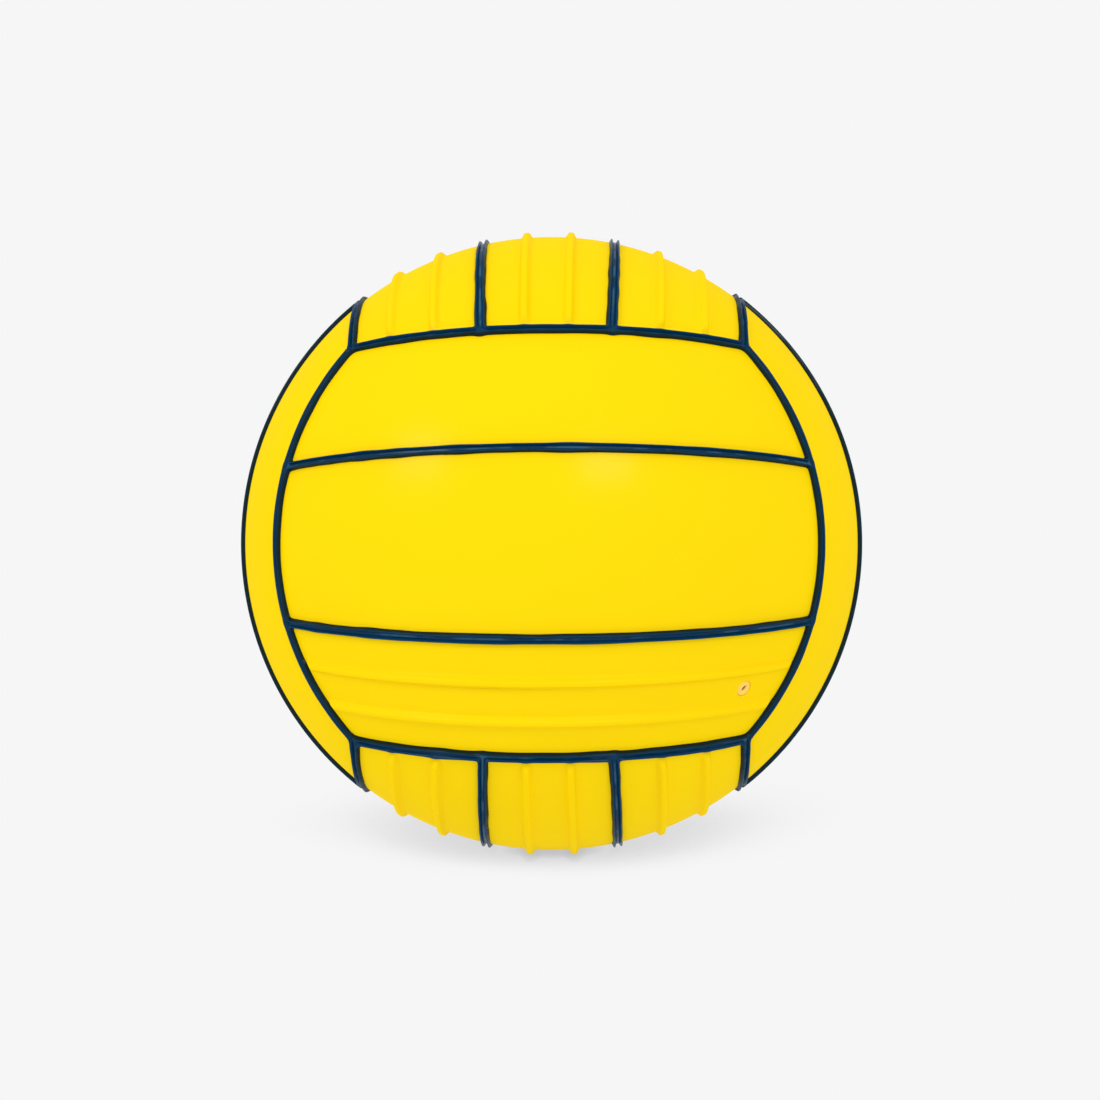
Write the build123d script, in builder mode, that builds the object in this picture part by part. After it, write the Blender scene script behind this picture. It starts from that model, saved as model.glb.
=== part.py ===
from build123d import *
from collections import namedtuple
from math import asin, cos, degrees, radians, sin, sqrt
import os

# A size 4 water polo ball. The origin is the centre of the ball, +Z is up, and the
# front face, which carries the valve, looks along -Y. Lengths are in millimetres and
# angles in degrees.
#
# The cover has six faces of three parallel strips each. Every seam lies on a circle of
# the ball. A face's pieces are drawn as they lie on the front face, where the strips run
# along X and are counted along Z, and are placed on the other faces by their planes.

# Layers of the wall, from the outside in
ball_radius = 104.0
panel_thickness = 1.6
winding_thickness = 0.5
bladder_thickness = 0.7
bond_gap = 0.05

# Seam pattern: where a seam crosses the middle of its face, as an angle from the face's
# own middle, and how far its circle leans out of the plane square to the face
edge_seam_tilt = 6.6
front_seam_angle = 15.1
front_seam_tilt = 4.9
top_seam_angle = 12.1
top_seam_tilt = 3.6
side_seam_angle = 12.1
side_seam_tilt = 3.6

# Section of a seam strip: two lips with bevelled crests and a groove between them
seam_width = 3.2
seam_gap = 0.05
lip_height = 1.4
lip_spacing = 2.1
lip_shoulder_width = 0.7
lip_crest_width = 0.3
lip_crest_rise = 0.3
groove_floor_width = 1.1
groove_floor_height = 0.3

# Section of a grip rib, two of which run along each ribbed panel
rib_height = 1.7
rib_base_width = 3.4
rib_crest_width = 1.7
rib_crest_rise = 0.5
rib_root_depth = 0.5
rib_end_gap = 0.2

# Valve: its place along the lower front panel, then the core and its housing
valve_turn = 36.9
core_head_radius = 2.5
core_head_length = 4.0
core_body_radius = 2.1
core_length = 16.0
core_nose_radius = 1.2
core_nose_length = 2.5
core_recess = 0.3
core_clearance = 0.05
panel_hole_clearance = 0.1
needle_radius = 1.05
needle_depth = 10.0
needle_mouth_radius = 1.5
needle_mouth_depth = 0.5
collar_radius = 4.6
flange_radius = 11.0
flange_thickness = 1.0
barrel_radius = 4.6
barrel_length = 13.0

# Radii of the layers
panel_inner_radius = ball_radius - panel_thickness
winding_outer_radius = panel_inner_radius - bond_gap
winding_inner_radius = winding_outer_radius - winding_thickness
bladder_outer_radius = winding_inner_radius - bond_gap
bladder_inner_radius = bladder_outer_radius - bladder_thickness

# The edge seams meet three by three on the corners of a cube
tilt_sine = sin(radians(edge_seam_tilt))
tilt_cosine = cos(radians(edge_seam_tilt))
edge_seam_angle = edge_seam_tilt + degrees(asin((tilt_cosine - tilt_sine) / sqrt(3)))

# Angle from the middle of a seam to a panel's edge, and the cone that ends the panels
panel_edge_angle = degrees((seam_width / 2 + seam_gap) / ball_radius)
end_cone_angle = 90 - edge_seam_angle + edge_seam_tilt - panel_edge_angle

centre = Vector(0, 0, 0)
right, back, up = Vector(1, 0, 0), Vector(0, 1, 0), Vector(0, 0, 1)

# A face of the ball: the plane that carries the front face onto it, its strips, the faces
# on its two long sides, which strips have ribs, and where its inner seams are
BallFace = namedtuple("BallFace", "name plane strips sides ribbed seam_angle seam_tilt")
rows = (("lower", "middle", "upper"), ("bottom", "top"), ("lower",))
columns = (("left", "middle", "right"), ("left", "right"), ("left", "middle", "right"))
depths = (("front", "middle", "back"), ("front", "back"), ())
front_seam = (front_seam_angle, front_seam_tilt)
top_seam = (top_seam_angle, top_seam_tilt)
side_seam = (side_seam_angle, side_seam_tilt)
faces = [
    BallFace("front", Plane(origin=centre, x_dir=right, z_dir=up), *rows, *front_seam),
    BallFace("back", Plane(origin=centre, x_dir=-right, z_dir=up), *rows, *front_seam),
    BallFace("top", Plane(origin=centre, x_dir=-back, z_dir=right), *columns, *top_seam),
    BallFace("bottom", Plane(origin=centre, x_dir=back, z_dir=right), *columns, *top_seam),
    BallFace("left", Plane(origin=centre, x_dir=up, z_dir=back), *depths, *side_seam),
    BallFace("right", Plane(origin=centre, x_dir=-up, z_dir=back), *depths, *side_seam),
]
front = faces[0]

os.makedirs("parts", exist_ok=True)


def lengthwise_circle(angle, tilt):
    """Axis and cone angle of a circle along the face; both inputs carry the sign of its side."""
    return Vector(0, sin(radians(tilt)), cos(radians(tilt))), 90 - angle + tilt


def end_axis(end):
    """Axis of the edge seam across one end of the face, which lies inside that seam's cone."""
    return Vector(-end * tilt_sine, -tilt_cosine, 0)


def strip_limits(face, place):
    """Angle and tilt of the seams on the two sides of a strip: place is -1, 0 or 1."""
    limits = [
        (-edge_seam_angle, -edge_seam_tilt),
        (-face.seam_angle, -face.seam_tilt),
        (face.seam_angle, face.seam_tilt),
        (edge_seam_angle, edge_seam_tilt),
    ]
    return limits[place + 1], limits[place + 2]


def between(first, second, share):
    """Angle and tilt part of the way from one lengthwise circle to another."""
    return tuple(a + (b - a) * share for a, b in zip(first, second))


def meridian(axis):
    """Plane that holds the axis as its own Y, with X towards the far side of the ball."""
    outward = (back - axis * axis.dot(back)).normalized()
    return Plane(origin=centre, x_dir=outward, z_dir=outward.cross(axis))


def polar(radius, angle):
    """Point of a meridian plane at a radius from the centre and an angle from the axis."""
    return radius * sin(radians(angle)), radius * cos(radians(angle))


def on_sphere(radius, offset):
    """Point of a meridian plane on a sphere, at a distance from the axis."""
    return offset, sqrt(radius**2 - offset**2)


def sphere_arc(radius, start, end):
    """Arc of a sphere's outline in a meridian plane between two distances from the axis."""
    middle = (start + end) / 2
    return ThreePointArc(on_sphere(radius, start), on_sphere(radius, middle), on_sphere(radius, end))


def circle_plane(axis, cone_angle):
    """Plane of a circle of the ball: it faces along the circle's axis."""
    return Plane(origin=axis * (ball_radius * cos(radians(cone_angle))), z_dir=axis)


def end_plane(axis, cone_angle, end, short=0):
    """Plane that ends a lengthwise strip at the panels' end, or short of it, and faces inward.

    The strip's circle and the panels' end circle cross where their two plane equations
    and the unit sphere agree.
    """
    across_end = end_axis(end)
    strip_height = cos(radians(cone_angle))
    end_height = cos(radians(end_cone_angle))
    lean = axis.dot(across_end)
    square = 1 - lean**2
    strip_part = axis * ((strip_height - lean * end_height) / square)
    end_part = across_end * ((end_height - lean * strip_height) / square)
    flat = strip_part + end_part
    rise = axis.cross(across_end)
    reach = sqrt((1 - flat.dot(flat)) / square)
    crossing = flat + rise * (reach if rise.X * end > 0 else -reach)
    inward = (across_end - crossing * crossing.dot(across_end)).normalized()
    return Plane(origin=inward * short, z_dir=inward)


def rib_section(axis, cone_angle):
    """Section of a grip rib: straight flanks, a round crest, and a root inside the panel."""

    def place(offset, height):
        return polar(ball_radius + height, cone_angle + degrees(offset / ball_radius))

    base = rib_base_width / 2
    crest = rib_crest_width / 2
    shoulder = rib_height - rib_crest_rise
    with BuildSketch(meridian(axis)) as profile:
        with BuildLine():
            Polyline(
                place(crest, shoulder),
                place(base, 0),
                place(base, -rib_root_depth),
                place(-base, -rib_root_depth),
                place(-base, 0),
                place(-crest, shoulder),
            )
            ThreePointArc(place(-crest, shoulder), place(0, rib_height), place(crest, shoulder))
        make_face()
    return profile.sketch


def seam_section(axis, cone_angle):
    """Section of a seam strip: as deep as the panels, with two lips standing over them."""

    def place(offset, height):
        return polar(ball_radius + height, cone_angle + degrees(offset / ball_radius))

    half = seam_width / 2
    floor = groove_floor_width / 2
    middle = lip_spacing / 2
    shoulder = lip_shoulder_width / 2
    crest = lip_crest_width / 2
    shoulder_height = lip_height - lip_crest_rise
    underside = [place(offset, -panel_thickness) for offset in (-half, 0, half)]
    with BuildSketch(meridian(axis)) as profile:
        with BuildLine():
            ThreePointArc(*underside)
            Line(place(-floor, groove_floor_height), place(floor, groove_floor_height))
            for side in (-1, 1):
                Polyline(
                    place(side * half, -panel_thickness),
                    place(side * half, 0),
                    place(side * (middle + shoulder), shoulder_height),
                    place(side * (middle + crest), lip_height),
                    place(side * (middle - crest), lip_height),
                    place(side * (middle - shoulder), shoulder_height),
                    place(side * floor, groove_floor_height),
                )
        make_face()
    return profile.sketch


def panel_skin(low, high):
    """Outer surface of a panel: the ball's sphere cut by the planes of its four seams."""
    low_axis, low_angle = lengthwise_circle(*low)
    high_axis, high_angle = lengthwise_circle(*high)
    with BuildPart() as blank:
        Sphere(ball_radius)
        split(bisect_by=circle_plane(low_axis, low_angle - panel_edge_angle), keep=Keep.TOP)
        split(bisect_by=circle_plane(high_axis, high_angle + panel_edge_angle), keep=Keep.BOTTOM)
        for end in (-1, 1):
            split(bisect_by=circle_plane(end_axis(end), end_cone_angle), keep=Keep.TOP)
    return blank.faces().filter_by(GeomType.SPHERE)[0]


def rib_solid(low, high, share):
    """A grip rib part of the way across a panel, from end to end of it."""
    axis, cone_angle = lengthwise_circle(*between(low, high, share))
    with BuildPart() as rib:
        revolve(rib_section(axis, cone_angle), axis=Axis(centre, axis))
        for end in (-1, 1):
            split(bisect_by=end_plane(axis, cone_angle, end, rib_end_gap), keep=Keep.TOP)
    return rib.part


def panel_solid(low, high, ribbed):
    """A cover panel, with its two ribs at the thirds of its width if it is ribbed."""
    skin = panel_skin(low, high)
    ribs = [rib_solid(low, high, share) for share in (1 / 3, 2 / 3)] if ribbed else []
    with BuildPart() as panel:
        thicken(skin, amount=-panel_thickness)
        for rib in ribs:
            add(rib)
    return panel.part


def inner_seam_solid(angle, tilt):
    """A seam strip between two panels of the face, from end to end of it."""
    axis, cone_angle = lengthwise_circle(angle, tilt)
    with BuildPart() as strip:
        revolve(seam_section(axis, cone_angle), axis=Axis(centre, axis))
        for end in (-1, 1):
            split(bisect_by=end_plane(axis, cone_angle, end), keep=Keep.TOP)
    return strip.part


def edge_seam_solid(side):
    """A seam strip along a long side of the face, mitred where three strips meet at a corner."""
    axis, cone_angle = lengthwise_circle(side * edge_seam_angle, side * edge_seam_tilt)
    mitre_turn = 30
    with BuildPart() as strip:
        revolve(seam_section(axis, cone_angle), axis=Axis(centre, axis))
        for end in (-1, 1):
            corner = Vector(end, -1, side).normalized()
            tangent = axis.cross(corner).normalized()
            inward = tangent if tangent.X * end < 0 else -tangent
            for turn in (-mitre_turn, mitre_turn):
                facing = inward.rotate(Axis(centre, corner), turn)
                split(bisect_by=Plane(origin=facing * (seam_gap / 2), z_dir=facing), keep=Keep.TOP)
    return strip.part


# The valve stands in the middle of the lower front panel, off towards its right end
valve_place = -1
valve_circle_axis, valve_circle_angle = lengthwise_circle(*between(*strip_limits(front, valve_place), 0.5))
valve_start = valve_circle_axis.rotate(Axis(centre, right), valve_circle_angle)
valve_axis = valve_start.rotate(Axis(centre, valve_circle_axis), valve_turn)
valve_outside = Plane(origin=valve_axis * (ball_radius + rib_height), z_dir=valve_axis)
valve_cut_depth = ball_radius + rib_height - bladder_inner_radius + flange_thickness
panel_hole_radius = core_head_radius + panel_hole_clearance
wall_hole_radius = collar_radius + bond_gap

# Cover panels
for face in faces:
    for place, strip in zip((-1, 0, 1), face.strips):
        blank = panel_solid(*strip_limits(face, place), strip in face.ribbed)
        with BuildPart(face.plane) as panel:
            add(blank)
            if face is front and place == valve_place:
                with Locations(valve_outside):
                    Hole(panel_hole_radius, valve_cut_depth)
        panel.part.label = f"panel_{face.name}_{strip}"
        export_step(panel.part, f"parts/{panel.part.label}.step")

# Inner seam strips
for face in faces:
    for side, strip in ((-1, face.strips[0]), (1, face.strips[2])):
        blank = inner_seam_solid(side * face.seam_angle, side * face.seam_tilt)
        with BuildPart(face.plane) as inner_seam:
            add(blank)
        inner_seam.part.label = f"inner_seam_{face.name}_{strip}"
        export_step(inner_seam.part, f"parts/{inner_seam.part.label}.step")

# Edge seam strips
for face in faces:
    for side, neighbour in zip((-1, 1), face.sides):
        blank = edge_seam_solid(side)
        with BuildPart(face.plane) as edge_seam:
            add(blank)
        edge_seam.part.label = f"edge_seam_{face.name}_{neighbour}"
        export_step(edge_seam.part, f"parts/{edge_seam.part.label}.step")

# Thread winding: a shell of nylon thread over the bladder
with BuildPart() as winding:
    Sphere(winding_outer_radius)
    Sphere(winding_inner_radius, mode=Mode.SUBTRACT)
    with Locations(valve_outside):
        Hole(wall_hole_radius, valve_cut_depth)
winding.part.label = "thread_winding"
export_step(winding.part, "parts/thread_winding.step")

# Bladder: the airtight balloon
with BuildPart() as bladder:
    Sphere(bladder_outer_radius)
    Sphere(bladder_inner_radius, mode=Mode.SUBTRACT)
    with Locations(valve_outside):
        Hole(wall_hole_radius, valve_cut_depth)
bladder.part.label = "bladder"
export_step(bladder.part, "parts/bladder.step")

# Valve housing: a flange under the bladder, a collar up through the wall and a barrel
# that reaches into the ball, with a stepped bore for the core
core_top = ball_radius - core_recess
core_shoulder = core_top - core_head_length
collar_top_radius = panel_inner_radius - bond_gap
flange_top_radius = bladder_inner_radius - bond_gap
flange_floor_radius = flange_top_radius - flange_thickness
barrel_end = flange_floor_radius - barrel_length
housing_step = core_shoulder - core_clearance
head_bore_radius = core_head_radius + core_clearance
body_bore_radius = core_body_radius + core_clearance
with BuildPart() as valve_housing:
    with BuildSketch(meridian(valve_axis)):
        with BuildLine():
            sphere_arc(collar_top_radius, head_bore_radius, collar_radius)
            Line(on_sphere(collar_top_radius, collar_radius), on_sphere(flange_top_radius, collar_radius))
            sphere_arc(flange_top_radius, collar_radius, flange_radius)
            Line(on_sphere(flange_top_radius, flange_radius), on_sphere(flange_floor_radius, flange_radius))
            sphere_arc(flange_floor_radius, flange_radius, barrel_radius)
            Polyline(
                on_sphere(flange_floor_radius, barrel_radius),
                (barrel_radius, barrel_end),
                (body_bore_radius, barrel_end),
                (body_bore_radius, housing_step),
                (head_bore_radius, housing_step),
                on_sphere(collar_top_radius, head_bore_radius),
            )
        make_face()
    revolve(axis=Axis(centre, valve_axis))
valve_housing.part.label = "valve_housing"
export_step(valve_housing.part, "parts/valve_housing.step")

# Valve core: a gum rubber plug with a head, a slimmer body, a tapered nose and the
# needle hole down its middle
core_end = core_top - core_length
nose_start = core_end + core_nose_length
with BuildPart() as valve_core:
    with BuildSketch(meridian(valve_axis)):
        with BuildLine():
            Polyline(
                (needle_mouth_radius, core_top),
                (core_head_radius, core_top),
                (core_head_radius, core_shoulder),
                (core_body_radius, core_shoulder),
                (core_body_radius, nose_start),
                (core_nose_radius, core_end),
                (0, core_end),
                (0, core_top - needle_depth),
                (needle_radius, core_top - needle_depth),
                (needle_radius, core_top - needle_mouth_depth),
                (needle_mouth_radius, core_top),
            )
        make_face()
    revolve(axis=Axis(centre, valve_axis))
valve_core.part.label = "valve_core"
export_step(valve_core.part, "parts/valve_core.step")
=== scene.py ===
import bpy
import numpy as np
from mathutils import Matrix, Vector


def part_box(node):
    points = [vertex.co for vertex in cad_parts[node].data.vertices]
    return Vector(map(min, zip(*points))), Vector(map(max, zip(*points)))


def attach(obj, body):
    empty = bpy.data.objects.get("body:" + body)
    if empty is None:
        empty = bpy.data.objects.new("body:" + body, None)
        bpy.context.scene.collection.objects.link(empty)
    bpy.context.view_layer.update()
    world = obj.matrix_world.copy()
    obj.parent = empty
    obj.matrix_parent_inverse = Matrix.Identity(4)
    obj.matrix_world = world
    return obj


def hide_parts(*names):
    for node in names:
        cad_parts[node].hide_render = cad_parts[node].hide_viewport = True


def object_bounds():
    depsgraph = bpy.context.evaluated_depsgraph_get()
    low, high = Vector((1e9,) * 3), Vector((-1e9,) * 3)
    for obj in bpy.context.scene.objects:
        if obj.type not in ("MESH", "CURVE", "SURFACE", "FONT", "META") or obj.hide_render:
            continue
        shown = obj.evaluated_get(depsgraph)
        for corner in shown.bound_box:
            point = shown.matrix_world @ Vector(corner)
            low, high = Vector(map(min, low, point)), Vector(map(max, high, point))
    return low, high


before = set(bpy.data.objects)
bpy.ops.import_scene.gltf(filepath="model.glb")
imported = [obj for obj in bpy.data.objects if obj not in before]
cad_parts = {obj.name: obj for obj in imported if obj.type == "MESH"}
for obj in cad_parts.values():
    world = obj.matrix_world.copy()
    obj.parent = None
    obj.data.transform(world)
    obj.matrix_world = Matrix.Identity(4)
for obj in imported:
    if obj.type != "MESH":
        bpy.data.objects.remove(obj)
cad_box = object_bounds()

# The bladder is a balloon of black butyl rubber, cured in a round mould. It is the
# innermost layer: it holds the air, and the thread and the cover are laid over it.

mm = 0.001


class Shade:
    """A shader socket in Python arithmetic: each operator on it adds one Math node."""

    def __init__(self, tree, socket=None):
        self.tree = tree
        self.socket = socket

    def node(self, kind, settings=None, sockets=None, output=0):
        """Add a node, set its settings, set or link its sockets, and wrap one of its outputs."""
        made = self.tree.nodes.new(kind)
        for name, value in (settings or {}).items():
            setattr(made, name, value)
        for name, value in (sockets or {}).items():
            if isinstance(value, Shade):
                self.tree.links.new(value.socket, made.inputs[name])
            else:
                made.inputs[name].default_value = value
        return Shade(self.tree, made.outputs[output])

    def math(self, operation, first, second):
        """One Math node on two values."""
        return self.node("ShaderNodeMath", {"operation": operation}, {0: first, 1: second})

    def __add__(self, other):
        return self.math("ADD", self, other)

    def __radd__(self, other):
        return self.math("ADD", other, self)

    def __sub__(self, other):
        return self.math("SUBTRACT", self, other)

    def __rsub__(self, other):
        return self.math("SUBTRACT", other, self)

    def __mul__(self, other):
        return self.math("MULTIPLY", self, other)

    def __rmul__(self, other):
        return self.math("MULTIPLY", other, self)

    def noise(self, size, detail=2.0):
        """Cloudy value from 0 to 1 whose patches are about the given size."""
        sockets = {"Vector": self, "Scale": 1 / size, "Detail": detail}
        return self.node("ShaderNodeTexNoise", None, sockets, "Fac")

    def step(self, low, high):
        """Smooth rise from 0 to 1 as this value goes from low to high."""
        settings = {"interpolation_type": "SMOOTHSTEP"}
        sockets = {"Value": self, "From Min": low, "From Max": high}
        return self.node("ShaderNodeMapRange", settings, sockets)

    def blend(self, first, second):
        """Colour that goes from the first to the second as this value goes from 0 to 1."""
        first, second = (c if isinstance(c, Shade) else (*c, 1) for c in (first, second))
        sockets = {0: self, 6: first, 7: second}
        return self.node("ShaderNodeMix", {"data_type": "RGBA"}, sockets, 2)

    def relief(self, depth):
        """Normal of a surface that stands up by this value times a depth."""
        return self.node("ShaderNodeBump", None, {"Height": self, "Distance": depth}, "Normal")


def new_finish(name, constants):
    """A material with the sockets set that stay the same all over, and its Object coordinates."""
    finish = bpy.data.materials.new(name)
    finish.use_nodes = True
    for socket, value in constants.items():
        finish.node_tree.nodes["Principled BSDF"].inputs[socket].default_value = value
    return finish, Shade(finish.node_tree).node("ShaderNodeTexCoord", output="Object")


def lay_on(finish, varying):
    """Link what changes over the surface to the material's shader."""
    shader = finish.node_tree.nodes["Principled BSDF"]
    for socket, shade in varying.items():
        finish.node_tree.links.new(shade.socket, shader.inputs[socket])


butyl, place = new_finish("butyl_rubber", {"Specular IOR Level": 0.35})
bloom = place.noise(14 * mm, 4.0)
lay_on(butyl, {
    "Base Color": bloom.blend((0.008, 0.008, 0.009), (0.035, 0.034, 0.033)),
    "Roughness": 0.42 + 0.25 * bloom,
    "Normal": place.noise(1.5 * mm).relief(0.06 * mm),
})
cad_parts["bladder"].material_slots[0].material = butyl

# The thread winding is nylon thread, wound over the bladder in every direction and set in
# latex. It keeps the ball round when the air presses out.

thread, place = new_finish("nylon_thread", {"Specular IOR Level": 0.3})
lays = [(0.3, 0.8, 0.1), (1.2, 0.4, 2.0), (2.1, 1.5, 0.7), (0.9, 2.4, 1.4)]
strand_scale = 160.0
strands = []
for lay in lays:
    laid = place.node("ShaderNodeMapping", None, {"Vector": place, "Rotation": lay})
    weave = {"Vector": laid, "Scale": strand_scale, "Distortion": 1.2, "Detail": 1.0}
    strands.append(laid.node("ShaderNodeTexWave", None, weave, "Fac"))
over = strands[0]
for strand in strands[1:]:
    over = over.math("MAXIMUM", over, strand)
lay_on(thread, {
    "Base Color": over.step(0.45, 0.95).blend((0.42, 0.34, 0.2), (0.82, 0.79, 0.7)),
    "Roughness": 0.75 - 0.2 * over,
    "Normal": over.relief(0.2 * mm),
})
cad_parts["thread_winding"].material_slots[0].material = thread

# The valve housing is a boot of black rubber, moulded in one piece and vulcanised to the
# bladder wall. Its barrel grips the valve core.

boot, place = new_finish("moulded_rubber", {"Specular IOR Level": 0.3})
grain = place.noise(0.8 * mm, 3.0)
lay_on(boot, {
    "Base Color": place.noise(6 * mm).blend((0.015, 0.015, 0.015), (0.05, 0.048, 0.045)),
    "Roughness": 0.6 + 0.2 * grain,
    "Normal": grain.relief(0.05 * mm),
})
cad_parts["valve_housing"].material_slots[0].material = boot

# The cover panels are sheets of yellow rubber, moulded on the ball in six faces of three
# parallel strips. The strips that the hand meets carry two soft grip ribs each.

ball_radius = -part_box("panel_front_middle")[0].y
panel_thickness = 1.6 * mm
panel_tuck = 1.25 * mm
tuck_power = 8
rib_height = 1.7 * mm
rib_half_base = 2.0 * mm
rib_half_crest = 0.5 * mm
rib_run_out = 4.0 * mm
rib_end_gap = 0.3 * mm
rib_shares = (1 / 3, 2 / 3)
sharp_corner = np.radians(50)

# The grid over a panel is fine across its ribs, with a margin, and where they run out
plain_step = 2.4 * mm
rib_steps = 20
rib_margin = 1.15
run_out_steps = 12
run_out_margin = 2

# Where a seam crosses the middle of its face and how far its circle leans, in degrees
front_seam = (15.1, 4.9)
side_seam = (12.1, 3.6)
edge_lean = np.radians(6.6)
edge_seam = (
    np.degrees(edge_lean + np.arcsin((np.cos(edge_lean) - np.sin(edge_lean)) / np.sqrt(3))),
    np.degrees(edge_lean),
)

# A face's pieces are worked out as they lie on the front face, with the strips along X and
# counted along Z. Each row gives where that X and Z point, the strips, the neighbours on the
# long sides, the ribbed strips and the inner seams.
rows = ("lower", "middle", "upper")
columns = ("left", "middle", "right")
depths = ("front", "middle", "back")
faces = {
    "front": ((1, 0, 0), (0, 0, 1), rows, ("bottom", "top"), ("lower",), front_seam),
    "back": ((-1, 0, 0), (0, 0, 1), rows, ("bottom", "top"), ("lower",), front_seam),
    "top": ((0, -1, 0), (1, 0, 0), columns, ("left", "right"), columns, side_seam),
    "bottom": ((0, 1, 0), (1, 0, 0), columns, ("left", "right"), columns, side_seam),
    "left": ((0, 0, 1), (0, 1, 0), depths, ("front", "back"), (), side_seam),
    "right": ((0, 0, -1), (0, 1, 0), depths, ("front", "back"), (), side_seam),
}


def face_frame(along, across):
    """Rows that carry a point of the front face's drawing onto another face."""
    return np.array([along, np.cross(across, along), across], float)


def cone_of(lane, shift=0.0):
    """Angle of a lane's circle from its axis: a right angle less the lane's angle, plus its lean.

    A shift moves the circle over the ball towards Z.
    """
    angle, lean = np.radians(lane)
    return np.pi / 2 - angle + lean - shift / ball_radius


def lane_point(lane, shift, turn):
    """Unit vectors on a lane, which is a circle along the front face.

    The circle's axis leans from Z towards Y. A point goes up the axis by the cosine of the
    circle's angle and out by its sine, turned from -Y towards X.
    """
    cone = cone_of(lane, shift)
    lean = np.radians(lane[1])
    out = np.sin(cone) * np.cos(turn)
    up = np.cos(cone)
    x = np.sin(cone) * np.sin(turn)
    y = up * np.sin(lean) - out * np.cos(lean)
    z = up * np.cos(lean) + out * np.sin(lean)
    return np.stack([x, y, z], axis=-1)


def lane_end(lane, shift, short):
    """Turn at which a lane comes to the edge seam across the face's end, or stops short of it.

    That seam is a circle about (-sin lean, -cos lean, 0), so the turn t solves
    a sin t + b cos t = c, which is the angle of (a, b) plus the arc cosine of c over its length.
    """
    cone = cone_of(lane, shift)
    lean = np.radians(lane[1])
    end_cone = cone_of(edge_seam) - short / ball_radius
    a = -np.sin(edge_lean) * np.sin(cone)
    b = np.cos(edge_lean) * np.sin(cone) * np.cos(lean)
    c = np.cos(end_cone) + np.cos(edge_lean) * np.cos(cone) * np.sin(lean)
    return np.arctan2(a, b) + np.arccos(c / np.hypot(a, b))


def between(low, high, share):
    """Lanes part of the way from one to another: the first plus a share of the difference."""
    return np.array([a + (b - a) * share for a, b in zip(low, high)])


def face_lanes(seam):
    """The lanes of a face's four seams along its strips, counted along Z."""
    return (-edge_seam[0], -edge_seam[1]), (-seam[0], -seam[1]), seam, edge_seam


def strip_sides(seam, number):
    """The lanes of the seams on the two sides of a strip, which is number 0, 1 or 2."""
    return face_lanes(seam)[number : number + 2]


def spread(stops, counts):
    """Rising places, with a count of equal steps between each two stops."""
    runs = [np.linspace(a, b, n, endpoint=False) for a, b, n in zip(stops, stops[1:], counts)]
    return np.append(np.concatenate(runs), stops[-1])


def smooth_rise(value):
    """Smooth step from 0 to 1: three times the value's square less twice its cube."""
    value = np.clip(value, 0, 1)
    return value * value * (3 - 2 * value)


def rib_lift(points, lane, to_end):
    """Height of one rib: a flat crest with raised cosine flanks, running out before the end."""
    lean = np.radians(lane[1])
    from_axis = np.arccos(points[..., 1] * np.sin(lean) + points[..., 2] * np.cos(lean))
    beside = ball_radius * np.abs(from_axis - cone_of(lane))
    flank = np.clip((beside - rib_half_crest) / (rib_half_base - rib_half_crest), 0, 1)
    return rib_height * 0.5 * (1 + np.cos(np.pi * flank)) * smooth_rise(to_end / rib_run_out)


def finish_mesh(name, points, polygons, finish):
    """Put points and polygons into a mesh with smooth shading, sharp only over steep corners."""
    mesh = bpy.data.meshes.new(name)
    mesh.from_pydata(points, [], polygons)
    mesh.polygons.foreach_set("use_smooth", np.ones(len(mesh.polygons), bool))
    mesh.set_sharp_from_angle(angle=sharp_corner)
    mesh.materials.append(finish)
    piece = bpy.data.objects.new(name, mesh)
    bpy.context.scene.collection.objects.link(piece)
    return piece


def shell_piece(name, outer, inner, kept, finish):
    """Closed shell between two grids of points.

    Each kept cell is a face of both grids, and a wall joins the grids wherever a kept cell has
    no kept neighbour.
    """
    across = outer.shape[1]
    corner = np.arange(outer.shape[0] * across).reshape(-1, across)
    below = corner + corner.size
    cells = np.stack([corner[:-1, :-1], corner[1:, :-1], corner[1:, 1:], corner[:-1, 1:]], axis=-1)[kept]
    padded = np.pad(kept, 1)
    walls = []
    for start, end, ahead, behind in (
        (corner[:-1], corner[1:], padded[1:-1, 1:], padded[1:-1, :-1]),
        (corner[:, 1:], corner[:, :-1], padded[1:, 1:-1], padded[:-1, 1:-1]),
    ):
        for first, second, bare in ((start, end, ahead & ~behind), (end, start, behind & ~ahead)):
            lip = np.stack([second[bare], first[bare]], axis=-1)
            walls.append(np.concatenate([lip, below.ravel()[lip[:, ::-1]]], axis=-1))
    polygons = np.concatenate([cells, below.ravel()[cells[:, ::-1]], *walls])
    used, polygons = np.unique(polygons, return_inverse=True)
    points = np.concatenate([outer.reshape(-1, 3), inner.reshape(-1, 3)])[used]
    return finish_mesh(name, points, polygons.reshape(-1, 4), finish)


# A weak coat of a high index is a soft gloss that doesn't go pale towards the ball's outline
panel_gloss = {"Specular IOR Level": 0.005, "Coat Weight": 0.02, "Coat Roughness": 0.22, "Coat IOR": 3.0}
yellow, place = new_finish("yellow_panel_rubber", panel_gloss)
clouds = place.noise(30 * mm, 3.0)
grain = place.noise(0.7 * mm)
lay_on(yellow, {
    "Base Color": clouds.blend((1.0, 0.683, 0.0), (1.0, 0.708, 0.0)),
    "Roughness": 0.6 + 0.15 * clouds + 0.1 * grain,
    "Normal": grain.relief(0.012 * mm),
})

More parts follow.
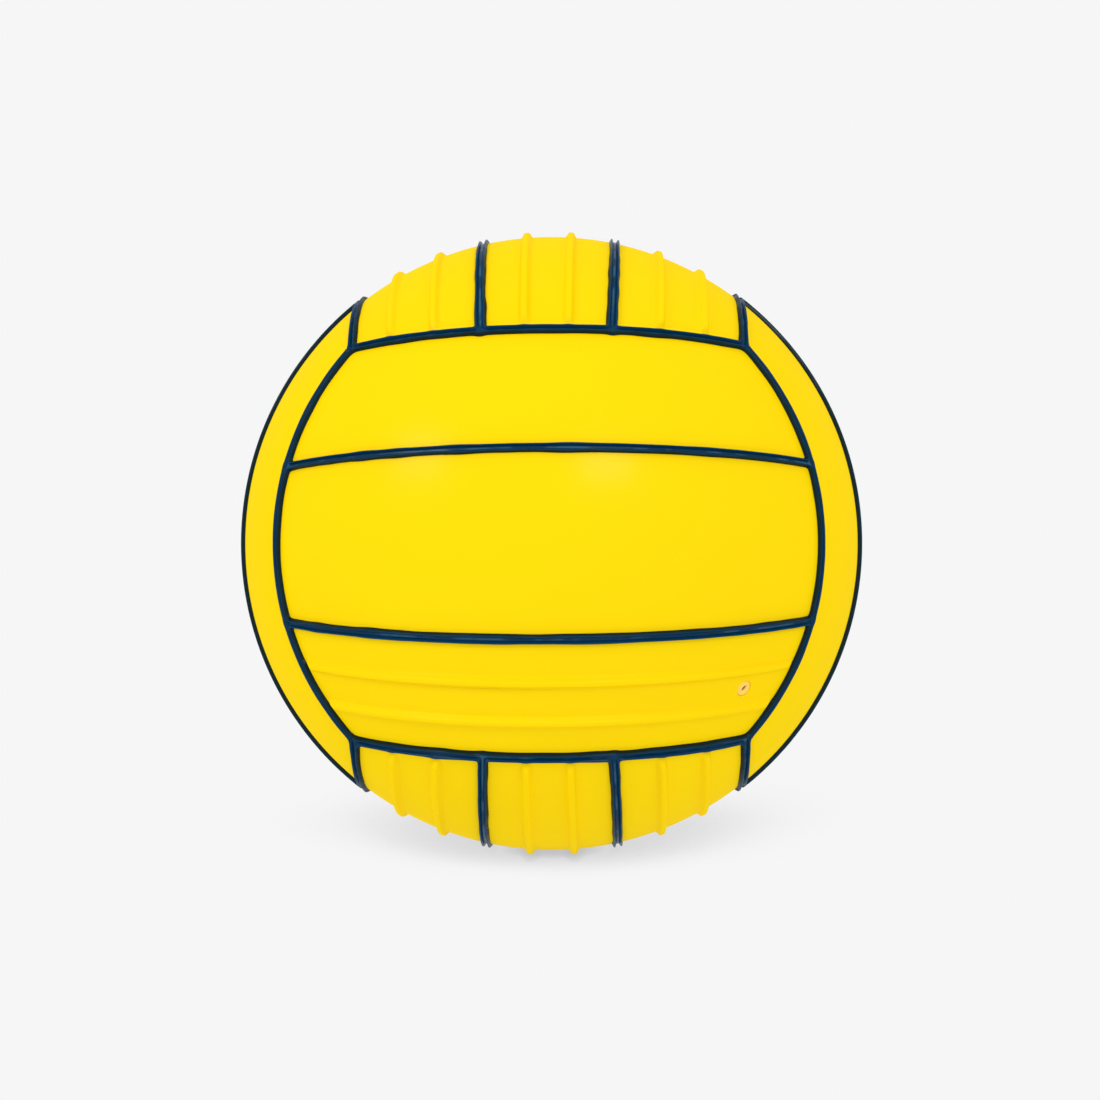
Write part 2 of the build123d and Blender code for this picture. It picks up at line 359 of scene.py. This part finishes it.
# The valve hole goes through the middle of the lower front panel. The grid round it is drawn
# to a circle: a ring of the square grid becomes the hole's edge, and the rings outside it
# blend back.
valve_turn = np.radians(36.9)
valve_lane = between(*strip_sides(front_seam, 0), 0.5)
valve_axis = lane_point(valve_lane, 0.0, valve_turn)
valve_right = np.cross((0, 0, 1), valve_axis)
valve_right /= np.linalg.norm(valve_right)
valve_up = np.cross(valve_axis, valve_right)
hole_radius = 2.6 * mm
hole_ring = 5
block_rings = 9
block_step = 0.5 * mm
block_side_steps = 2
block_end_steps = 6
tiny = 1e-9
dimple_depth = 0.35 * mm
dimple_radius = 4.5 * mm


def round_hole(points, ring):
    """Draw the square rings of a grid round the valve to circles.

    A ring's circle grows with the ring's number, and is the hole's edge at the hole's ring. From
    there outwards the rings keep more and more of their own place.
    """
    x = ball_radius * points @ valve_right
    y = ball_radius * points @ valve_up
    share = np.clip((block_rings - ring) / (block_rings - hole_ring), 0, 1)
    reach = np.maximum(np.hypot(x, y), tiny)
    pull = 1 + share * (hole_radius * ring / hole_ring / reach - 1)
    x, y = x * pull / ball_radius, y * pull / ball_radius
    drawn = np.stack([x, y, np.sqrt(np.maximum(1 - x * x - y * y, 0))], axis=-1)
    drawn = drawn @ np.array([valve_right, valve_up, valve_axis])
    return np.where((ring < block_rings)[..., None], drawn, points)


def grid_across(width, is_ribbed, has_valve):
    """Places across a strip from 0 to 1, closer together over the ribs and round the valve."""
    if not is_ribbed:
        return spread([0, 1], [int(width / plain_step)])
    rib = rib_margin * rib_half_base / width
    first, second = ((share - rib, share + rib) for share in rib_shares)
    gap = int(width / 3 / plain_step)
    if not has_valve:
        return spread([0, *first, *second, 1], [gap, rib_steps, gap, rib_steps, gap])
    half_block = block_rings * block_step / width
    block = (0.5 - half_block, 0.5 + half_block)
    middle = [block_side_steps, 2 * block_rings, block_side_steps]
    return spread([0, *first, *block, *second, 1], [gap, rib_steps, *middle, rib_steps, gap])


def grid_along(half_length, valve_along=None):
    """Places along a strip from -1 to 1, closer together at its ends and round the valve."""
    run_out = run_out_margin * rib_run_out / half_length
    if valve_along is None:
        stops = [-1, run_out - 1, 1 - run_out, 1]
        return spread(stops, [run_out_steps, int(2 * half_length / plain_step), run_out_steps])
    half_block = block_rings * block_step / half_length
    block = (valve_along - half_block, valve_along + half_block)
    before = int((1 + valve_along) * half_length / plain_step)
    counts = [run_out_steps, before, 2 * block_rings, block_end_steps, run_out_steps]
    return spread([-1, run_out - 1, *block, 1 - run_out, 1], counts)


for face, (along, across, strips, _, ribbed, seam) in faces.items():
    turned = face_frame(along, across)
    for number, strip in enumerate(strips):
        name = f"panel_{face}_{strip}"
        has_valve = name == "panel_front_lower"
        low, high = strip_sides(seam, number)
        width = ball_radius * np.radians(high[0] - low[0])
        middle = between(low, high, 0.5)
        end = lane_end(middle, 0.0, panel_tuck)
        half_length = end * ball_radius * np.sin(cone_of(middle))
        valve_along = valve_turn / end if has_valve else None
        shares = grid_across(width, strip in ribbed, has_valve)
        places = grid_along(half_length, valve_along)

        lanes = between(low, high, shares)
        tucks = panel_tuck * ((1 - shares) ** tuck_power - shares**tuck_power)
        ends = lane_end(lanes, tucks, panel_tuck)
        turns = places[:, None] * ends
        points = lane_point(lanes, tucks, turns)
        kept = np.ones((len(places) - 1, len(shares) - 1), bool)
        lift = np.zeros(points.shape[:2])
        if has_valve:
            row = np.searchsorted(places, valve_along - tiny)
            column = np.searchsorted(shares, 0.5 - tiny)
            rows_away = np.abs(np.arange(len(places)) - row)[:, None]
            ring = np.maximum(rows_away, np.abs(np.arange(len(shares)) - column))
            points = round_hole(points, ring)
            cell_corners = np.lib.stride_tricks.sliding_window_view(ring, (2, 2))
            kept &= cell_corners.max(axis=(2, 3)) > hole_ring
            from_valve = ball_radius * np.linalg.norm(points - valve_axis, axis=-1)
            lift -= dimple_depth * np.exp(-((from_valve / dimple_radius) ** 2))
        if strip in ribbed:
            lane_radius = ball_radius * np.sin(cone_of(lanes, tucks))
            to_end = (ends - np.abs(turns)) * lane_radius - rib_end_gap
            lift += sum(rib_lift(points, between(low, high, share), to_end) for share in rib_shares)
        outer = points * (ball_radius + lift)[..., None] @ turned
        inner = points * (ball_radius - panel_thickness) @ turned
        panel = shell_piece(f"cover_{name}", outer, inner, kept, yellow)
        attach(panel, "ball")
        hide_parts(name)

# The seam strips are navy rubber beads, pressed and vulcanised into the gaps between the
# panels. Each has two rounded lips with a groove between them, and its edge is run over the
# panels by hand, so that it wavers a little and flows together where seams meet.

lip_height = 1.4 * mm
lip_place = 1.05 * mm
lip_reach = 0.6 * mm
groove_floor = 0.3 * mm
seam_half_width = lip_place + lip_reach
stem_half_width = 1.2 * mm
stem_share = 0.9
seat_depth = 0.02 * mm
junction_reach = 2.4 * mm
widest_reach = 3.0 * mm
corner_round = 0.48 * mm
mitre_gap = 0.02 * mm
mitre_angle = np.radians(60)
row_step = 0.35 * mm
top_samples = 29
search_samples = 40
waver_seed = 4
waver_count = 24
waver_lengths = (8 * mm, 22 * mm)
waver_share = 0.015
waver_narrowest = 0.06
rib_pull = 0.25 * mm
rib_pull_reach = 1.5 * mm

# How wide the hand ran each of a face's four beads against the usual width
even_widths = (1, 1, 1, 1)
bead_widths = {
    "front": (1.09, 0.95, 0.86, 0.88),
    "top": (1, 1.06, 1.06, 1),
    "left": (0.93, 1, 1, 1),
    "right": (0.88, 1, 1, 1),
}

corner_turn = np.arcsin(1 / np.sqrt(3) / np.sin(cone_of(edge_seam)))
arcs = []
rib_ends = []
for face, (along, across, strips, _, ribbed, seam) in faces.items():
    turned = face_frame(along, across)
    lanes = face_lanes(seam)
    ends = (corner_turn, *(lane_end(lane, 0.0, 0.0) for lane in lanes[1:3]), corner_turn)
    for lane, end, width in zip(lanes, ends, bead_widths.get(face, even_widths)):
        lean = np.radians(lane[1])
        axis = np.array([0, np.sin(lean), np.cos(lean)]) @ turned
        front = np.array([0, -np.cos(lean), np.sin(lean)]) @ turned
        arcs.append((axis, front, turned[0], cone_of(lane), end, width))
    for number in [n for n, strip in enumerate(strips) if strip in ribbed]:
        lanes = between(*strip_sides(seam, number), np.array(rib_shares))
        ends = lane_end(lanes, 0.0, seam_half_width)
        rib_ends += [lane_point(lanes, 0.0, turn) @ turned for turn in (-ends, ends)]
arc_axis, arc_front, arc_right, arc_cone, arc_end, arc_width = map(np.array, zip(*arcs))
rib_ends = np.concatenate(rib_ends)

draws = np.random.default_rng(waver_seed)
waver_ways = draws.normal(size=(waver_count, 3))
waver_ways /= np.linalg.norm(waver_ways, axis=1)[:, None]
waver_ways *= (2 * np.pi * ball_radius / draws.uniform(*waver_lengths, waver_count))[:, None]
waver_starts = draws.uniform(0, 2 * np.pi, waver_count)


def bead_reach(points):
    """Distance from the seams' middle lines over the ball, as the bead's section reads it.

    A seam is an arc: the distance joins how far the point is from the arc's circle with how far
    it lies past the arc's end, and counts for less on a wide bead. A soft minimum, -k log of the
    sum of exp(-d / k), flows seams together. A sum of seeded sines widens the bead and, up to a
    limit, narrows it, and rib ends draw it out.
    """
    beside = np.arccos(np.clip(points @ arc_axis.T, -1, 1)) - arc_cone
    turn = np.arctan2(points @ arc_right.T, points @ arc_front.T)
    beyond = np.maximum(np.abs(turn) - arc_end, 0) * np.sin(arc_cone)
    apart = ball_radius * np.hypot(beside, beyond) / arc_width
    reach = -corner_round * np.log(np.exp(-apart / corner_round).sum(axis=-1))
    waver = np.sin(points @ waver_ways.T + waver_starts).sum(axis=-1) * waver_share
    waver = np.minimum(waver, waver_narrowest)
    near = ball_radius**2 * (2 - 2 * np.clip(points @ rib_ends.T, -1, 1))
    pull = rib_pull * np.exp(-near / rib_pull_reach**2).sum(axis=-1)
    return reach * (1 + waver) - pull * (reach > 0)


def bead_lift(reach):
    """Height of the bead: half cosine lips at their place, down to the groove or the panel."""
    floor = np.where(reach < lip_place, groove_floor, 0)
    lip = np.cos(0.5 * np.pi * np.clip((reach - lip_place) / lip_reach, -1, 1))
    return floor + (lip_height - floor) * lip


def bead_limit(at, side, farthest):
    """Where each row of a bead ends on one side: the first place past its half width.

    The row is sampled outwards to its farthest place, and the limit lies on the straight line
    between the last sample inside and the first one past.
    """
    offsets = farthest[:, None] * np.linspace(0, 1, search_samples)
    past = bead_reach(at(side * offsets)) - seam_half_width
    past[:, -1] = np.maximum(past[:, -1], tiny)
    past[:, 0] = np.minimum(past[:, 0], -tiny)
    later = (past > 0).argmax(axis=1)
    each = np.arange(len(past))
    before, after = past[each, later - 1], past[each, later]
    share = np.clip(-before / np.maximum(after - before, tiny), 0, 1)
    step = offsets[each, later] - offsets[each, later - 1]
    met = offsets[each, later - 1] + share * step
    return np.where(later == search_samples - 1, np.minimum(met, farthest), met)


def ringed_piece(name, rings, finish):
    """Closed skin over a row of rings: quads between them, and a cap on the first and last."""
    index = np.arange(rings[..., 0].size).reshape(rings.shape[:2])
    ahead = np.roll(index, -1, axis=1)
    quads = np.stack([index[:-1], index[1:], ahead[1:], ahead[:-1]], axis=-1).reshape(-1, 4)
    caps = [index[0].tolist(), index[-1, ::-1].tolist()]
    return finish_mesh(name, rings.reshape(-1, 3), quads.tolist() + caps, finish)


seam_gloss = {"Specular IOR Level": 0.01, "Coat Weight": 0.035, "Coat Roughness": 0.2, "Coat IOR": 3.0}
navy, place = new_finish("navy_seam_rubber", seam_gloss)
reach = place.node("ShaderNodeAttribute", {"attribute_name": "reach"}, None, "Fac")
flow = place.noise(5 * mm, 3.0)
# Paler blue in broken lengths along the groove's middle is a painted highlight: it stands in for the
# lamps' glints on the glossy bead.
painted_glint_streaks = (1 - reach.step(0.05, 0.25)) * place.noise(11 * mm).step(0.46, 0.6)
# The bead goes near black towards its outer edges: painted shade at the feet of the lips, where they
# meet the panels.
outer_edge_painted_shade = (reach + 0.3 * flow).step(0.72, 1.04)
navy_with_painted_edge_shade = outer_edge_painted_shade.blend((0.001, 0.039, 0.1), (0.002, 0.014, 0.016))
lay_on(navy, {
    "Base Color": painted_glint_streaks.blend(navy_with_painted_edge_shade, (0.035, 0.12, 0.21)),
    "Roughness": 0.18 + 0.16 * flow,
    "Normal": place.noise(1.2 * mm).relief(0.03 * mm),
})


def bead_piece(name, node, at, farthest, turned):
    """A seam strip: its lips over the panels, and a narrower stem down between them.

    Each row's section goes over the top from one limit to the other, back under the edge, down
    one side of the stem and up the other.
    """
    low, high = (bead_limit(lambda offsets: at(offsets) @ turned, side, farthest) for side in (-1, 1))
    stem_low, stem_high = (np.minimum(stem_share * side, stem_half_width) for side in (low, high))
    shares = np.linspace(0, 1, top_samples)
    top = -low[:, None] + (low + high)[:, None] * shares
    under = np.stack([high, stem_high, stem_high, -stem_low, -stem_low, -low], axis=-1)
    directions = at(np.concatenate([top, under], axis=1))
    spans = bead_reach(directions[:, :top_samples] @ turned)
    seat = -np.array([seat_depth, seat_depth, panel_thickness, panel_thickness, seat_depth, seat_depth])
    lift = np.concatenate([bead_lift(spans), np.broadcast_to(seat, under.shape)], axis=1)
    rings = directions * (ball_radius + lift)[..., None] @ turned
    bead = ringed_piece(name, rings, navy)
    colour = np.concatenate([spans / seam_half_width, np.ones(under.shape)], axis=1)
    bead.data.attributes.new("reach", "FLOAT", "POINT").data.foreach_set("value", colour.ravel())
    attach(bead, "ball")
    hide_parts(node)


for face, (along, across, strips, sides, _, seam) in faces.items():
    turned = face_frame(along, across)
    for side, strip, neighbour in ((-1, strips[0], sides[0]), (1, strips[2], sides[1])):
        inner_lane = (side * seam[0], side * seam[1])
        inner_end = lane_end(inner_lane, 0.0, junction_reach)
        inner_length = 2 * inner_end * ball_radius * np.sin(cone_of(inner_lane))
        places = np.linspace(-1, 1, int(inner_length / row_step))[:, None]

        def along_inner(offsets):
            """Points of the inner seam: each offset's own lane, from end to end of the face."""
            turns = places * lane_end(inner_lane, offsets, junction_reach)
            return lane_point(inner_lane, offsets, turns)

        farthest = np.full(len(places), widest_reach)
        place_name = f"{face}_{strip}"
        bead_piece(f"bead_inner_{place_name}", f"inner_seam_{place_name}", along_inner, farthest, turned)

        edge_lane = (side * edge_seam[0], side * edge_seam[1])
        edge_radius = ball_radius * np.sin(cone_of(edge_lane))
        last_turn = corner_turn - 2 * mitre_gap / edge_radius
        edge_length = 2 * last_turn * edge_radius
        edge_turns = np.linspace(-last_turn, last_turn, int(edge_length / row_step))[:, None]

        def along_edge(offsets):
            """Points of the edge seam: square sections along its circle."""
            return lane_point(edge_lane, offsets, edge_turns)

        to_corner = (corner_turn - np.abs(edge_turns[:, 0])) * edge_radius - mitre_gap
        farthest = np.minimum(junction_reach, to_corner * np.tan(mitre_angle))
        place_name = f"{face}_{neighbour}"
        bead_piece(f"bead_edge_{place_name}", f"edge_seam_{place_name}", along_edge, farthest, turned)

# The valve core is a plug of gum rubber, pushed into the housing from outside. A slit through
# its middle opens for an inflating needle and closes behind it.

core_recess = 0.3 * mm
core_length = 16 * mm
core_head_radius = 2.5 * mm
core_head_length = 4.0 * mm
core_body_radius = 2.1 * mm
core_nose_radius = 1.2 * mm
core_nose_length = 2.5 * mm
core_rim_round = 0.35 * mm
core_ring_rise = 0.12 * mm
core_ring_place = 1.75 * mm
core_ring_width = 0.35 * mm
core_crown = 0.1 * mm
core_sides = 72
core_face_samples = 30
core_rim_samples = 8
core_pole_radius = 0.02 * mm
slit_length = 0.9 * mm
slit_width = 0.42 * mm
slit_depth = 0.9 * mm
slit_turn = np.radians(52)
slit_place = (0.05 * mm, 0.12 * mm)

gum, place = new_finish("gum_rubber", {"Specular IOR Level": 0.1})
# The dark brown at the slit is painted shade in the needle slit's pit; the rest is the gum's own colour
# with its mottle.
slit = place.node("ShaderNodeAttribute", {"attribute_name": "slit"}, None, "Fac")
mottle = place.noise(1.4 * mm, 3.0)
lay_on(gum, {
    "Base Color": (slit + 0.1 * mottle).step(0.15, 0.75).blend((1.0, 0.66, 0.13), (0.13, 0.05, 0.004)),
    "Roughness": 0.4 + 0.2 * mottle,
    "Normal": mottle.relief(0.03 * mm),
})

flat_radius = core_head_radius - core_rim_round
rim_turn = np.linspace(0, np.pi / 2, core_rim_samples)
radii = np.concatenate([
    np.linspace(core_pole_radius, flat_radius, core_face_samples),
    (flat_radius + core_rim_round * np.sin(rim_turn))[1:],
    [core_head_radius, core_body_radius, core_body_radius, core_nose_radius, core_pole_radius],
])
drops = np.concatenate([
    np.zeros(core_face_samples),
    (core_rim_round * (1 - np.cos(rim_turn)))[1:],
    [core_head_length, core_head_length, core_length - core_nose_length, core_length, core_length],
])
angles = np.linspace(0, 2 * np.pi, core_sides, endpoint=False)
x = radii[:, None] * np.cos(angles)
y = radii[:, None] * np.sin(angles)
slit_along = (x - slit_place[0]) * np.cos(slit_turn) + (y - slit_place[1]) * np.sin(slit_turn)
slit_across = (y - slit_place[1]) * np.cos(slit_turn) - (x - slit_place[0]) * np.sin(slit_turn)
# The same mark sinks the face into the slit's pit and carries the painted shade there.
slit_pit_and_shade = np.exp(-((slit_along / slit_length) ** 2) - (slit_across / slit_width) ** 2)
on_face = drops < core_rim_round
slit_pit_and_shade *= on_face[:, None]
crown = core_crown * np.maximum(1 - (radii / flat_radius) ** 2, 0)
crown += core_ring_rise * np.exp(-(((radii - core_ring_place) / core_ring_width) ** 2)) * on_face
heights = (ball_radius - core_recess - drops + crown)[:, None] - slit_depth * slit_pit_and_shade
rings = x[..., None] * valve_right + y[..., None] * valve_up + heights[..., None] * valve_axis
core = ringed_piece("gum_valve_core", rings, gum)
core.data.attributes.new("slit", "FLOAT", "POINT").data.foreach_set("value", slit_pit_and_shade.ravel())
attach(core, "core")
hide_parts("valve_core")

# The stage is a plain pale table under the ball, lit from within as in a light tent. It is
# darker where the ball hides the light in front of it, and the most where they touch.

tent_light = 0.922
floor_level = cad_box[0][2]
floor_half = 6.0
front_light_way = (0.0, -0.906, 0.423)
shadow_depth = 0.26
shadow_from, shadow_full = 0.3, 0.54
shadow_reach = 1.0
shadow_samples = 12
touch_depth = 0.22
touch_reach = 3.0 * mm

floor_mesh = bpy.data.meshes.new("floor")
corners = floor_half * np.array([(-1, -1, 0), (1, -1, 0), (1, 1, 0), (-1, 1, 0)]) + (0, 0, floor_level)
floor_mesh.from_pydata(corners, [], [(0, 1, 2, 3)])
floor = bpy.data.objects.new("floor", floor_mesh)
bpy.context.scene.collection.objects.link(floor)
glow = {"Base Color": (0, 0, 0, 1), "Specular IOR Level": 0.0, "IOR": 1.0, "Emission Strength": 1.0}
paper, place = new_finish("pale_paper", glow)
samples = {"samples": shadow_samples}
to_light = place.node("ShaderNodeCombineXYZ", None, dict(enumerate(front_light_way)))
wide = {"Normal": to_light, "Distance": shadow_reach}
hidden = 1 - place.node("ShaderNodeAmbientOcclusion", samples, wide, "AO")
touching = 1 - place.node("ShaderNodeAmbientOcclusion", samples, {"Distance": touch_reach}, "AO")
shadow = shadow_depth * hidden.step(shadow_from, shadow_full) + touch_depth * touching
lay_on(paper, {"Emission Color": shadow.blend((tent_light,) * 3, (0, 0, 0))})
floor_mesh.materials.append(paper)

# The light is that of the tent, even from all sides, with two softboxes in front of the ball,
# above it on the left and the right.

softbox_distance = 1.5
softboxes = {
    "softbox_left": ((-0.67, -0.58, 0.46), (0.46, 0.36), 2.9),
    "softbox_right": ((0.32, -0.84, 0.43), (0.42, 0.2), 2.6),
}
for name, (way, (width, height), watts) in softboxes.items():
    lamp = bpy.data.lights.new(name, "AREA")
    lamp.shape = "RECTANGLE"
    lamp.size = width
    lamp.size_y = height
    lamp.energy = watts
    softbox = bpy.data.objects.new(name, lamp)
    bpy.context.scene.collection.objects.link(softbox)
    back = np.array(way) / np.linalg.norm(way)
    right = np.cross((0, 0, 1), back)
    right /= np.linalg.norm(right)
    facing = Matrix(np.array([right, np.cross(back, right), back]).T).to_4x4()
    softbox.matrix_world = Matrix.Translation(back * softbox_distance) @ facing

surround = bpy.data.worlds.new("surround")
surround.use_nodes = True
surround.node_tree.nodes["Background"].inputs["Color"].default_value = (1, 1, 1, 1)
surround.node_tree.nodes["Background"].inputs["Strength"].default_value = tent_light
bpy.context.scene.world = surround

# The camera stands level with the ball, in front of it and a little over half a metre away.
# Its small turn, roll and shift place the ball in the picture.

camera_distance = 549.8 * mm
camera_turn = np.radians(0.92)
camera_roll = np.radians(-0.29)
camera = bpy.data.cameras.new("camera")
camera.lens = 52.07
camera.sensor_width = 36.0
camera.shift_x = -0.0015
camera.shift_y = -0.006
camera.clip_start = 0.01
eye = bpy.data.objects.new("camera", camera)
bpy.context.scene.collection.objects.link(eye)
eye.matrix_world = (
    Matrix.Rotation(camera_turn, 4, "Z")
    @ Matrix.Translation((0, -camera_distance, 0))
    @ Matrix.Rotation(np.pi / 2, 4, "X")
    @ Matrix.Rotation(camera_roll, 4, "Z")
)
bpy.context.scene.camera = eye
bpy.context.scene.view_settings.view_transform = "Standard"
